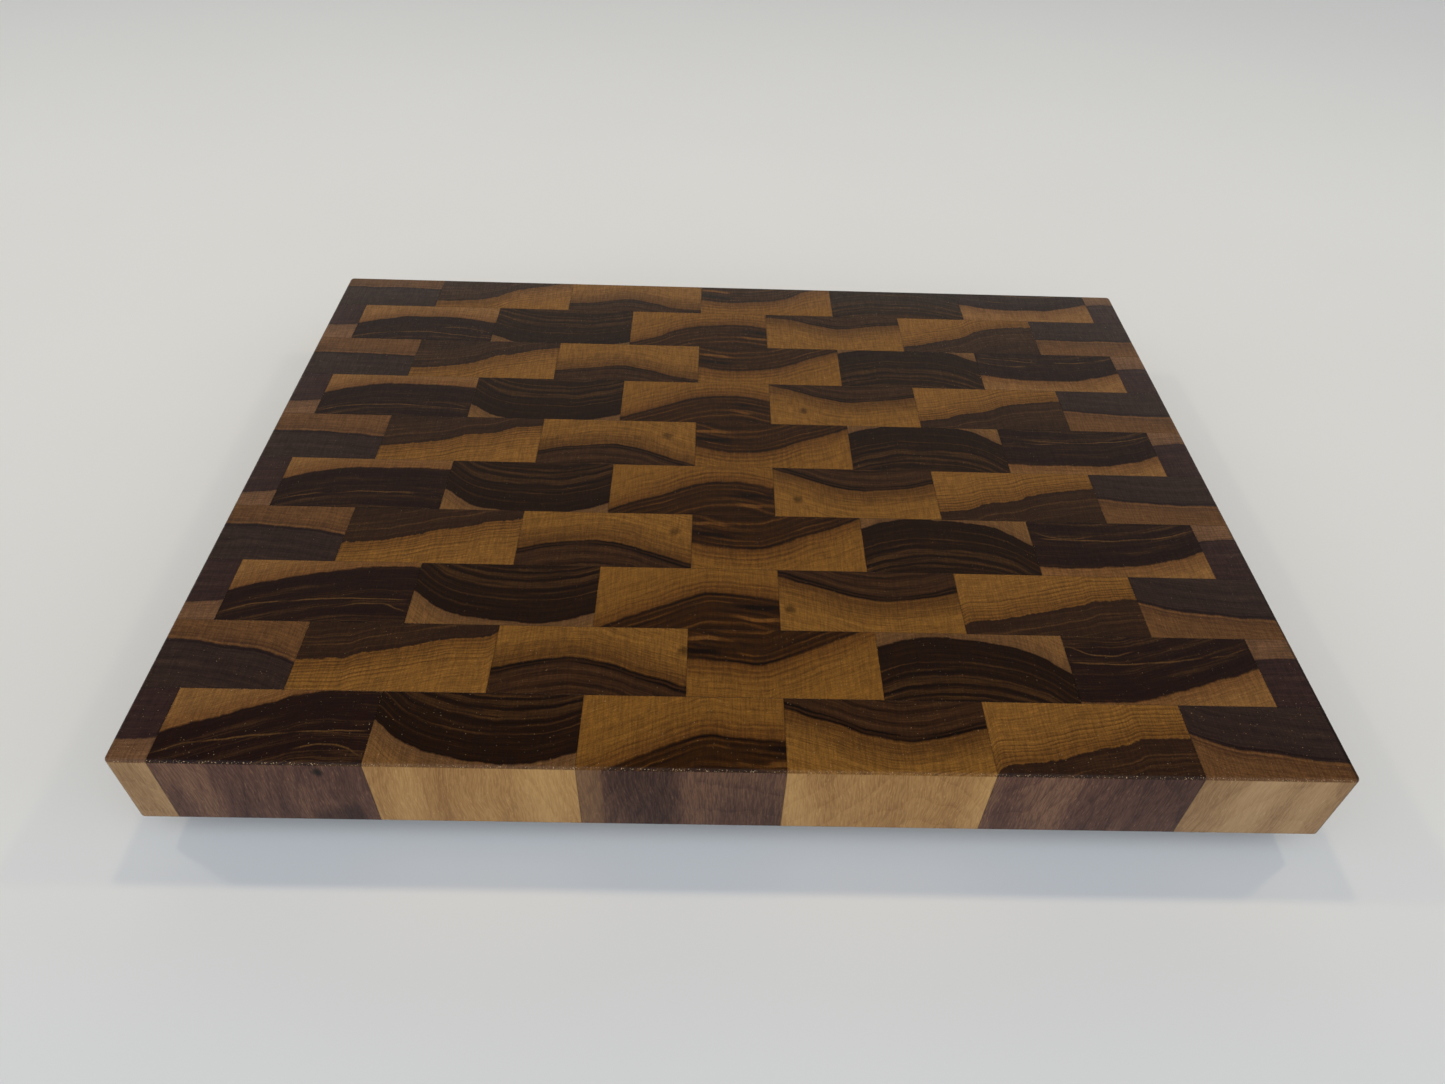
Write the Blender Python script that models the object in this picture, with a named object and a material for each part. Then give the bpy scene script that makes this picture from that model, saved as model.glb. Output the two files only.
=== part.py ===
"""End-grain walnut butcher block: rows of glued blocks on four screwed-on rubber feet.

Units are metres and +Z is up. The origin is on the floor under the centre of the board.
+X runs along the long side and +Y from the front edge to the back edge.

The board is made the way such boards are made. Seven strips, a to g, are glued side by
side into a panel. The panel is crosscut into ten slices, each slice is laid on its side so
that the end grain faces up, and every second slice is turned end for end, so that the
joints of neighbouring rows don't line up.
"""

import math

import bmesh
import bpy

# Board
BOARD_LENGTH = 0.6096
BOARD_DEPTH = 0.4552
BOARD_THICKNESS = 0.0508
EDGE_ROUND = 0.002
CORNER_ROUND = 0.0032

# Strips and rows
FULL_STRIP_WIDTH = 0.1024
NARROW_STRIP_WIDTH = 0.0228
STRIP_NAMES = "abcdefg"
JOINED_STRIPS = ("ab", "c", "d", "e", "fg")
ROW_COUNT = 10
ROW_DEPTH = 0.0463
BACK_ROW_DEPTH = 0.0405
ROW_SLIP = 0.00025

# Rubber feet
FOOT_HEIGHT = 0.019
FOOT_INSET = 0.0635
FOOT_TOP_RADIUS = 0.019
FOOT_BASE_RADIUS = 0.016
FOOT_EDGE_ROUND = 0.0015
FOOT_RECESS_RADIUS = 0.0065
FOOT_RECESS_DEPTH = 0.0095
FOOT_HOLE_RADIUS = 0.0026

# Screws
SCREW_HEAD_RADIUS = 0.0045
SCREW_HEAD_HEIGHT = 0.0031
SCREW_SHANK_RADIUS = 0.0021
SCREW_GRIP = 0.024
SCREW_TIP_LENGTH = 0.004
DRIVE_SLOT_LENGTH = 0.0048
DRIVE_SLOT_WIDTH = 0.0011
DRIVE_SLOT_DEPTH = 0.0016
PILOT_HOLE_CLEARANCE = 0.0005

# Modelling
PART_GAP = 0.0003
OVERSHOOT = 0.01
CORNER_SEGMENTS = 6
EDGE_SEGMENTS = 3
FOOT_SEGMENTS = 40
SCREW_SEGMENTS = 24
HOLE_SEGMENTS = 20
SMOOTH_ANGLE = math.radians(35)

# Colour, roughness and metallic value of each finish
FINISHES = {
    "walnut_heartwood": ((0.050, 0.022, 0.013), 0.42, 0.0),
    "walnut_sapwood": ((0.260, 0.120, 0.045), 0.42, 0.0),
    "walnut_mixed": ((0.120, 0.055, 0.026), 0.42, 0.0),
    "black_rubber": ((0.018, 0.018, 0.020), 0.75, 0.0),
    "stainless_steel": ((0.560, 0.560, 0.570), 0.30, 1.0),
}
STRIP_FINISH = {
    "ab": "walnut_heartwood",
    "c": "walnut_heartwood",
    "d": "walnut_sapwood",
    "e": "walnut_mixed",
    "fg": "walnut_mixed",
}


def clear_scene():
    for thing in list(bpy.data.objects):
        bpy.data.objects.remove(thing, do_unlink=True)


def make_finish(name):
    """A Principled BSDF material with one finish's colour, roughness and metallic value."""
    colour, roughness, metallic = FINISHES[name]
    material = bpy.data.materials.new(name)
    material.use_nodes = True
    shader = material.node_tree.nodes["Principled BSDF"]
    shader.inputs["Base Color"].default_value = (*colour, 1.0)
    shader.inputs["Roughness"].default_value = roughness
    shader.inputs["Metallic"].default_value = metallic
    return material


def object_from_bmesh(name, shape, material=None, smooth=False):
    """Turn a bmesh into a named object, and free the bmesh."""
    mesh = bpy.data.meshes.new(name)
    bmesh.ops.recalc_face_normals(shape, faces=shape.faces)
    shape.to_mesh(mesh)
    shape.free()
    if smooth:
        mesh.shade_smooth()
        mesh.set_sharp_from_angle(angle=SMOOTH_ANGLE)
    if material:
        mesh.materials.append(material)
    thing = bpy.data.objects.new(name, mesh)
    bpy.context.scene.collection.objects.link(thing)
    return thing


def mark_as_cutter(thing):
    thing.hide_render = True
    thing.display_type = "WIRE"


def add_boolean(thing, cutter, operation):
    modifier = thing.modifiers.new(operation.title(), "BOOLEAN")
    modifier.operation = operation
    modifier.solver = "EXACT"
    modifier.object = cutter


def box_between(low, high):
    """A bmesh box between its lowest and highest corners."""
    shape = bmesh.new()
    bmesh.ops.create_cube(shape, size=1.0)
    for vertex in shape.verts:
        for axis in range(3):
            vertex.co[axis] = low[axis] if vertex.co[axis] < 0 else high[axis]
    return shape


def turned(profile, segments):
    """A closed bmesh turned about Z from (radius, height) points.

    A profile that starts or ends on the axis is closed there by a single point. Any other
    profile is a ring, and its last point joins its first.
    """
    shape = bmesh.new()
    rings = []
    for radius, height in profile:
        if radius == 0:
            rings.append([shape.verts.new((0, 0, height))])
            continue
        ring = []
        for step in range(segments):
            angle = 2 * math.pi * step / segments
            ring.append(shape.verts.new((radius * math.cos(angle), radius * math.sin(angle), height)))
        rings.append(ring)
    pairs = list(zip(rings, rings[1:]))
    if len(rings[0]) > 1:
        pairs.append((rings[-1], rings[0]))
    for lower, upper in pairs:
        for step in range(segments):
            after = (step + 1) % segments
            corners = [lower[step % len(lower)], lower[after % len(lower)],
                       upper[after % len(upper)], upper[step % len(upper)]]
            shape.faces.new(list(dict.fromkeys(corners)))
    return shape


def arc(centre_radius, centre_height, radius, start_degrees, end_degrees, steps):
    """Points of a quarter-round in a turned profile, as (radius, height)."""
    points = []
    for step in range(steps + 1):
        angle = math.radians(start_degrees + (end_degrees - start_degrees) * step / steps)
        points.append((centre_radius + radius * math.cos(angle),
                       centre_height + radius * math.sin(angle)))
    return points


def board_outline():
    """The outside of the finished board, which every block is trimmed to."""
    half_length = BOARD_LENGTH / 2
    half_depth = BOARD_DEPTH / 2
    shape = box_between((-half_length, -half_depth, FOOT_HEIGHT),
                        (half_length, half_depth, FOOT_HEIGHT + BOARD_THICKNESS))
    upright = [edge for edge in shape.edges
               if abs(edge.verts[0].co.z - edge.verts[1].co.z) > BOARD_THICKNESS / 2]
    bmesh.ops.bevel(shape, geom=upright, offset=CORNER_ROUND, segments=CORNER_SEGMENTS,
                    profile=0.5, affect="EDGES")
    rims = [edge for edge in shape.edges
            if abs(edge.verts[0].co.z - edge.verts[1].co.z) < BOARD_THICKNESS / 2]
    bmesh.ops.bevel(shape, geom=rims, offset=EDGE_ROUND, segments=EDGE_SEGMENTS,
                    profile=0.5, affect="EDGES")
    outline = object_from_bmesh("board_outline", shape)
    mark_as_cutter(outline)
    return outline


def strip_edges():
    """Where each strip starts and ends along a row that isn't turned, from the left end."""
    edges = {}
    start = 0.0
    for name in STRIP_NAMES:
        end = start + FULL_STRIP_WIDTH
        if name == STRIP_NAMES[0]:
            end = NARROW_STRIP_WIDTH
        if name == STRIP_NAMES[-1]:
            end = BOARD_LENGTH
        edges[name] = (start, end)
        start = end
    return edges


def block_span_x(strips, row):
    """The left and right side of a block, or of two joined blocks, in world X.

    Each row slipped a little to the left of the row behind it when it was glued, so its
    joints move. The ends of the board are trimmed straight after that, so they don't.
    """
    edges = strip_edges()
    left = edges[strips[0]][0] - BOARD_LENGTH / 2
    right = edges[strips[-1]][1] - BOARD_LENGTH / 2
    if row % 2 == 0:
        left, right = -right, -left
    slip = ROW_SLIP * (ROW_COUNT - row)
    if not is_outer(left, BOARD_LENGTH / 2):
        left -= slip
    if not is_outer(right, BOARD_LENGTH / 2):
        right -= slip
    return left, right


def block_span_y(row):
    """The front and back of a row in world Y. The outer rows are trimmed to the board."""
    half_depth = BOARD_DEPTH / 2
    front = half_depth - BACK_ROW_DEPTH - (ROW_COUNT - row) * ROW_DEPTH
    back = front + ROW_DEPTH
    return max(front, -half_depth), min(back, half_depth)


def is_outer(place, limit):
    """Whether a side lies on the outside of the board, and not on a glue line."""
    return abs(place) > limit - PART_GAP


def inside_or_past(low, high, limit):
    """Leave half a gap at a glued side, and run past the board's outline at an outer side."""
    low = low - OVERSHOOT if is_outer(low, limit) else low + PART_GAP / 2
    high = high + OVERSHOOT if is_outer(high, limit) else high - PART_GAP / 2
    return low, high


def make_block(row, strips, outline, finishes):
    left, right = inside_or_past(*block_span_x(strips, row), BOARD_LENGTH / 2)
    front, back = inside_or_past(*block_span_y(row), BOARD_DEPTH / 2)
    bottom = FOOT_HEIGHT - OVERSHOOT
    top = FOOT_HEIGHT + BOARD_THICKNESS + OVERSHOOT
    word = "blocks" if len(strips) > 1 else "block"
    block = object_from_bmesh(f"row_{row:02d}_{word}_{strips}",
                              box_between((left, front, bottom), (right, back, top)),
                              finishes[STRIP_FINISH[strips]])
    add_boolean(block, outline, "INTERSECT")
    return block


def foot_centres():
    """The four places where a foot is screwed on, by name."""
    x = BOARD_LENGTH / 2 - FOOT_INSET
    y = BOARD_DEPTH / 2 - FOOT_INSET
    return {
        "front_left": (-x, -y),
        "front_right": (x, -y),
        "back_left": (-x, y),
        "back_right": (x, y),
    }


def foot_profile():
    """The section of a foot, from the recess at its base round to its screw hole."""
    top = FOOT_HEIGHT - PART_GAP
    base_round = arc(FOOT_BASE_RADIUS - FOOT_EDGE_ROUND, FOOT_EDGE_ROUND, FOOT_EDGE_ROUND,
                     -90, 0, EDGE_SEGMENTS)
    top_round = arc(FOOT_TOP_RADIUS - FOOT_EDGE_ROUND, top - FOOT_EDGE_ROUND, FOOT_EDGE_ROUND,
                    0, 90, EDGE_SEGMENTS)
    return [
        (FOOT_RECESS_RADIUS, 0.0),
        *base_round,
        *top_round,
        (FOOT_HOLE_RADIUS, top),
        (FOOT_HOLE_RADIUS, FOOT_RECESS_DEPTH),
        (FOOT_RECESS_RADIUS, FOOT_RECESS_DEPTH),
    ]


def make_foot(name, centre, finishes):
    foot = object_from_bmesh(f"rubber_foot_{name}", turned(foot_profile(), FOOT_SEGMENTS),
                             finishes["black_rubber"], smooth=True)
    foot.location = (*centre, 0.0)
    return foot


def screw_profile():
    """The section of a screw, from the middle of its head up to its point."""
    seat = FOOT_RECESS_DEPTH - PART_GAP
    head_low = seat - SCREW_HEAD_HEIGHT
    dome = SCREW_HEAD_HEIGHT * 0.6
    point = FOOT_HEIGHT + SCREW_GRIP
    return [
        (0.0, head_low),
        (SCREW_HEAD_RADIUS * 0.62, head_low),
        (SCREW_HEAD_RADIUS * 0.90, head_low + dome * 0.4),
        (SCREW_HEAD_RADIUS, head_low + dome),
        (SCREW_HEAD_RADIUS, seat),
        (SCREW_SHANK_RADIUS, seat),
        (SCREW_SHANK_RADIUS, point - SCREW_TIP_LENGTH),
        (0.0, point),
    ]


def drive_cutter():
    """The cross-shaped recess that takes a screwdriver."""
    head_low = FOOT_RECESS_DEPTH - PART_GAP - SCREW_HEAD_HEIGHT
    shape = bmesh.new()
    half_length = DRIVE_SLOT_LENGTH / 2
    half_width = DRIVE_SLOT_WIDTH / 2
    corners = [
        (half_length, -half_width), (half_length, half_width),
        (half_width, half_width), (half_width, half_length),
        (-half_width, half_length), (-half_width, half_width),
        (-half_length, half_width), (-half_length, -half_width),
        (-half_width, -half_width), (-half_width, -half_length),
        (half_width, -half_length), (half_width, -half_width),
    ]
    outline = [shape.verts.new((x, y, head_low - DRIVE_SLOT_DEPTH)) for x, y in corners]
    face = shape.faces.new(outline)
    raised = bmesh.ops.extrude_face_region(shape, geom=[face])["geom"]
    for item in raised:
        if isinstance(item, bmesh.types.BMVert):
            item.co.z = head_low + DRIVE_SLOT_DEPTH
    cutter = object_from_bmesh("screw_drive_recess", shape)
    mark_as_cutter(cutter)
    return cutter


def make_screw(name, centre, finishes):
    screw = object_from_bmesh(f"foot_screw_{name}", turned(screw_profile(), SCREW_SEGMENTS),
                              finishes["stainless_steel"], smooth=True)
    screw.location = (*centre, 0.0)
    cutter = drive_cutter()
    cutter.name = f"screw_drive_recess_{name}"
    cutter.location = screw.location
    add_boolean(screw, cutter, "DIFFERENCE")
    return screw


def drill_pilot_hole(name, centre, blocks):
    """Drill the block above one foot, wide and deep enough to clear the screw."""
    radius = SCREW_SHANK_RADIUS + PILOT_HOLE_CLEARANCE
    profile = [
        (0.0, FOOT_HEIGHT - OVERSHOOT),
        (radius, FOOT_HEIGHT - OVERSHOOT),
        (radius, FOOT_HEIGHT + SCREW_GRIP),
        (0.0, FOOT_HEIGHT + SCREW_GRIP + PILOT_HOLE_CLEARANCE),
    ]
    drill = object_from_bmesh(f"pilot_hole_{name}", turned(profile, HOLE_SEGMENTS))
    drill.location = (*centre, 0.0)
    mark_as_cutter(drill)
    add_boolean(block_over(centre, blocks), drill, "DIFFERENCE")


def block_over(centre, blocks):
    """The block that covers a point of the underside."""
    for (row, strips), block in blocks.items():
        left, right = block_span_x(strips, row)
        front, back = block_span_y(row)
        if left < centre[0] < right and front < centre[1] < back:
            return block
    raise ValueError("no block over this foot")


def build():
    clear_scene()
    finishes = {name: make_finish(name) for name in FINISHES}
    outline = board_outline()
    blocks = {}
    for row in range(1, ROW_COUNT + 1):
        for strips in JOINED_STRIPS:
            blocks[row, strips] = make_block(row, strips, outline, finishes)
    for name, centre in foot_centres().items():
        make_foot(name, centre, finishes)
        make_screw(name, centre, finishes)
        drill_pilot_hole(name, centre, blocks)


build()
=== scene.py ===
"""The looks of an end-grain walnut board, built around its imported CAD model.

Every wood piece is cut from one rounded outline of the board, where the CAD has it. The
figure of the wood is a solid texture: a piece's own axes are those of the panel that the
board was glued from (x across the seven strips, y through the panel, z along the grain), so
the figure runs on from slice to slice as it does in the real strips.

Lengths are in metres, unless a name says that they are in millimetres.
"""

import math
from dataclasses import dataclass

import bmesh
import bpy
from mathutils import Matrix, Vector


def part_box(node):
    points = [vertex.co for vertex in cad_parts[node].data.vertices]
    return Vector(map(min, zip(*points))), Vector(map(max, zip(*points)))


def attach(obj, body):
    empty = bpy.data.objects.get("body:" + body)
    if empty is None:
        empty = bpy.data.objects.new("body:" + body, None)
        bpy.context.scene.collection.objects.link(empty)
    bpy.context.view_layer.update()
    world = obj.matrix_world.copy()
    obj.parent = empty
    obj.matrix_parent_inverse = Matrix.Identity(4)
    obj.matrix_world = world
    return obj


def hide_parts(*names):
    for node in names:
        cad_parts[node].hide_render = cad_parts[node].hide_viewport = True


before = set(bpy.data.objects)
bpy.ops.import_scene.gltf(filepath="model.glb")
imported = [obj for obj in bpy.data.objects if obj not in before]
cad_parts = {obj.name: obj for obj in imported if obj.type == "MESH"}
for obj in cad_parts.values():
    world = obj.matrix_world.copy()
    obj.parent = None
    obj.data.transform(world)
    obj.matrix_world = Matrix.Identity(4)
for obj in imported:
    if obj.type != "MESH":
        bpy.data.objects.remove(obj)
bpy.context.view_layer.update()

# Panel and slices, as in the CAD model
STRIPS = "abcdefg"
JOINED_STRIPS = ("ab", "c", "d", "e", "fg")
FULL_STRIP_WIDTH = 0.1024
FIRST_STRIP_WIDTH = 0.0228
LAST_STRIP_WIDTH = 0.0748
ROW_COUNT = 10
ROW_DEPTH = 0.0463
BACK_ROW_DEPTH = 0.0405
CAD_GAP = 0.0003
CORNER_ROUND = 0.0032
EDGE_ROUND = 0.002
SAW_CUT = 0.004

# Fineness of the wood pieces
SEAM = 0.00004
SEAM_BEVEL = 0.00006
CORNER_STEPS = 12
EDGE_STEPS = 7
SMOOTH_ANGLE = math.radians(35)

# Feet and screws
FOOT_NAMES = ("front_left", "front_right", "back_left", "back_right")
FOOT_BASE_RADIUS = 0.016
FOOT_TOP_RADIUS = 0.019
FOOT_EDGE_ROUND = 0.0015
RECESS_RADIUS = 0.0065
RECESS_DEPTH = 0.0095
RECESS_MOUTH = 0.0006
SCREW_HOLE_RADIUS = 0.0026
WASHER_RADIUS = 0.00645
WASHER_THICKNESS = 0.001
HEAD_RADIUS = 0.0045
HEAD_HEIGHT = 0.0031
HEAD_RIM = 0.0009
SHANK_RADIUS = 0.0021
THREAD_CORE_RADIUS = 0.0015
THREAD_PITCH = 0.0018
THREAD_TURN_STEPS = 32
TIP_LENGTH = 0.004
DRIVE_LENGTH = 0.0048
DRIVE_WIDTH = 0.0011
DRIVE_DEPTH = 0.0016
TURNED_STEPS = 96
ARC_STEPS = 8

# Surface of the wood. Its roughness is that of the weave's hollows, then of its crests.
WOOD_ROUGHNESS = (0.44, 0.32)
WOOD_SPECULAR = 0.12
GLUE_DARKENING = 0.55
# Painted glints: the colour of light specks painted into the end grain in place of highlights
PAINTED_GLINT_COLOUR = (170, 140, 104)

# Pairs of colours that a noise mixes
RUBBER_COLOURS = ((0.014, 0.014, 0.016, 1.0), (0.032, 0.032, 0.034, 1.0))
STEEL_COLOURS = ((0.50, 0.50, 0.51, 1.0), (0.62, 0.62, 0.62, 1.0))
TABLE_COLOURS = ((0.77, 0.77, 0.74, 1.0), (0.81, 0.81, 0.78, 1.0))
# The near table colours paint cool light in front of the board, and the far colour paints shade
NEAR_TABLE_PAINTED_COOL_LIGHT_COLOURS = ((0.78, 0.82, 0.87, 1.0), (0.82, 0.86, 0.91, 1.0))
FAR_TABLE_PAINTED_SHADE_COLOUR = (0.70, 0.69, 0.66, 1.0)
TABLE_SIZE = 6.0

# Camera and light
CAMERA_LOCATION = Vector((-0.0206, -0.5066, 0.4910))
CAMERA_TARGET = Vector((-0.0084, -0.0682, 0.0698))
CAMERA_ROLL = math.radians(2.3)
CAMERA_LENS_MM = 25.46
LAMPS = (("left", -1.33, 3.6), ("middle", -0.075, 2.6), ("right", 1.16, 3.2))
LAMP_HEIGHT = 1.52
LAMP_SETBACK = 0.35
LAMP_SIZE = 0.12
LAMP_COLOUR = (1.0, 0.81, 0.56)
SKY_COLOUR = (0.95, 1.02, 1.13, 1.0)
GLOW_COLOUR = (1.06, 1.00, 0.90, 1.0)
BACKDROP_COLOUR = (0.60, 0.61, 0.61, 1.0)
FRONT_LIGHT = 1.14
GLOW_LIGHT = 0.75
ROOM_LIGHT = 0.06

# How much the figure of the wood is drawn out along the grain, and how much the rings and the
# edge of the heartwood lean from it
GRAIN_STRETCH = 0.04
RING_LEAN = 0.09
HEART_LEAN = 0.02

# The colours below are those of the lit wood, and the stage lights a white surface this much
LIGHT_ON_WOOD = 1.04


def linear(red, green, blue, light=1.0):
    """A colour given as 0 to 255 in sRGB, as the linear RGBA that a shader takes."""
    def channel(value):
        share = value / 255
        plain = share / 12.92 if share <= 0.04045 else ((share + 0.055) / 1.055) ** 2.4
        return plain / light
    return (channel(red), channel(green), channel(blue), 1.0)


class Graph:
    """Adds nodes to one node tree. Its methods return the socket that holds their result."""

    def __init__(self, tree):
        self.tree = tree

    def add(self, kind, **settings):
        node = self.tree.nodes.new(kind)
        for name, value in settings.items():
            setattr(node, name, value)
        return node

    def feed(self, socket, value):
        """Link a result to an input, or set the input to a plain value."""
        if isinstance(value, bpy.types.NodeSocket):
            self.tree.links.new(value, socket)
        else:
            socket.default_value = value

    def math(self, operation, *values, clamp=False):
        node = self.add("ShaderNodeMath", operation=operation, use_clamp=clamp)
        for socket, value in zip(node.inputs, values):
            self.feed(socket, value)
        return node.outputs[0]

    def product(self, *values):
        total = values[0]
        for value in values[1:]:
            total = self.math("MULTIPLY", total, value)
        return total

    def centred(self, value, size):
        """A value from 0 to 1, turned into one from -size / 2 to size / 2."""
        return self.math("MULTIPLY_ADD", value, size, -size / 2)

    def vector_math(self, operation, *values):
        node = self.add("ShaderNodeVectorMath", operation=operation)
        for socket, value in zip(node.inputs, values):
            self.feed(socket, value)
        single = operation in ("LENGTH", "DISTANCE", "DOT_PRODUCT")
        return node.outputs["Value" if single else "Vector"]

    def step(self, value, start, end, low=0.0, high=1.0):
        """low up to start, high from end on, and a smooth step between them."""
        node = self.add("ShaderNodeMapRange", interpolation_type="SMOOTHSTEP")
        for name, number in (("Value", value), ("From Min", start), ("From Max", end),
                             ("To Min", low), ("To Max", high)):
            self.feed(node.inputs[name], number)
        return node.outputs["Result"]

    def blend(self, share, first, second):
        """A number that goes from first to second as share goes from 0 to 1."""
        # The sockets of a Mix node share their names, so they go by number.
        node = self.add("ShaderNodeMix", data_type="FLOAT")
        for index, value in ((0, share), (2, first), (3, second)):
            self.feed(node.inputs[index], value)
        return node.outputs[0]

    def mix(self, share, first, second):
        """The same for colours."""
        node = self.add("ShaderNodeMix", data_type="RGBA")
        for index, value in ((0, share), (6, first), (7, second)):
            self.feed(node.inputs[index], value)
        return node.outputs[2]

    def toned(self, tone, dark, plain, light):
        """The plain colour where tone is 0.5, and the others at 0 and 1."""
        lower = self.mix(self.math("MULTIPLY", tone, 2.0, clamp=True), dark, plain)
        upper = self.math("MULTIPLY_ADD", tone, 2.0, -1.0, clamp=True)
        return self.mix(upper, lower, light)

    def noise(self, place, detail=2.0, roughness=0.5):
        node = self.add("ShaderNodeTexNoise")
        self.feed(node.inputs["Vector"], place)
        node.inputs["Scale"].default_value = 1.0
        node.inputs["Detail"].default_value = detail
        node.inputs["Roughness"].default_value = roughness
        return node.outputs["Fac"]

    def curve(self, value, points):
        """A smooth curve through the points, level beyond its ends."""
        node = self.add("ShaderNodeFloatCurve")
        node.mapping.use_clip = False
        node.mapping.extend = "HORIZONTAL"
        line = node.mapping.curves[0]
        line.points[0].location = points[0]
        line.points[-1].location = points[-1]
        for point in points[1:-1]:
            line.points.new(*point)
        for point in line.points:
            point.handle_type = "AUTO_CLAMPED"
        node.mapping.update()
        self.feed(node.inputs["Value"], value)
        return node.outputs["Value"]

    def split(self, vector):
        node = self.add("ShaderNodeSeparateXYZ")
        self.feed(node.inputs[0], vector)
        return node.outputs

    def join(self, x, y, z):
        node = self.add("ShaderNodeCombineXYZ")
        for socket, value in zip(node.inputs, (x, y, z)):
            self.feed(socket, value)
        return node.outputs[0]

    def scaled(self, vector, *factors):
        return self.vector_math("MULTIPLY", vector, factors)

    def bump(self, shader, height, strength, distance):
        node = self.add("ShaderNodeBump")
        node.inputs["Strength"].default_value = strength
        node.inputs["Distance"].default_value = distance
        self.feed(node.inputs["Height"], height)
        self.feed(shader.inputs["Normal"], node.outputs["Normal"])


def new_material(name):
    """An empty material, with its graph and its Principled BSDF."""
    material = bpy.data.materials.new(name)
    material.use_nodes = True
    graph = Graph(material.node_tree)
    return material, graph, material.node_tree.nodes["Principled BSDF"]


# ---------------------------------------------------------------------------
# Wood
# ---------------------------------------------------------------------------

@dataclass
class Stroke:
    """A light or dark line that doesn't follow the rings, in the first and the last slice."""
    first: tuple
    last: tuple
    tone: float
    width_mm: float = 1.2
    span: tuple = (0.0, 1.0)


@dataclass
class Knot:
    """A dark pin knot, from one place to another: across, forward and slices from the first."""
    start: tuple
    end: tuple
    radius_mm: float
    darkness: float


@dataclass
class Figure:
    """How one strip looks.

    A line says where the heartwood ends, from the back of the strip (0) to its front (1),
    along the width of the strip (0 to 1). Lines are given for the first slice, a middle one
    and the last, and the figure changes evenly between them.

    Heartwood and side grain have a dark, a plain and a light colour. Sapwood's end grain has
    a dark one, one beside the heartwood and one far from it. Side grain is that of sapwood,
    then that of heartwood. Rings are tones (0.5 is plain) at depths into the heartwood in
    millimetres, and below 0 in the sapwood.

    The edge of the heartwood has a softness and jags. Fine threads run along the rings. The
    sapwood has dark lines at an even distance, up to a reach from the heartwood, and its two
    plain colours fade into each other. Side contrast spreads the tones of the side grain.
    """
    heart_in_front: bool
    lines: tuple
    heart: tuple
    sap: tuple
    side: tuple
    rings: tuple
    edge_softness_mm: float = 1.2
    edge_jags_mm: float = 0.5
    thread_depth: float = 0.5
    sap_ring_mm: float = 2.6
    sap_ring_depth: float = 0.25
    sap_ring_reach_mm: float = 20.0
    sap_fade_mm: float = 14.0
    side_contrast: float = 0.85
    strokes: tuple = ()
    knots: tuple = ()


BROWN = ((50, 29, 23), (83, 54, 42), (118, 85, 61))
PALE_SIDE = (((132, 92, 50), (160, 120, 70), (178, 138, 84)), BROWN)
TAN_SIDE = (((126, 94, 60), (153, 119, 80), (168, 135, 94)), BROWN)
UMBER_SIDE = (((84, 56, 38), (102, 72, 48), (122, 90, 60)),
              ((48, 28, 21), (78, 52, 39), (108, 76, 55)))

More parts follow.
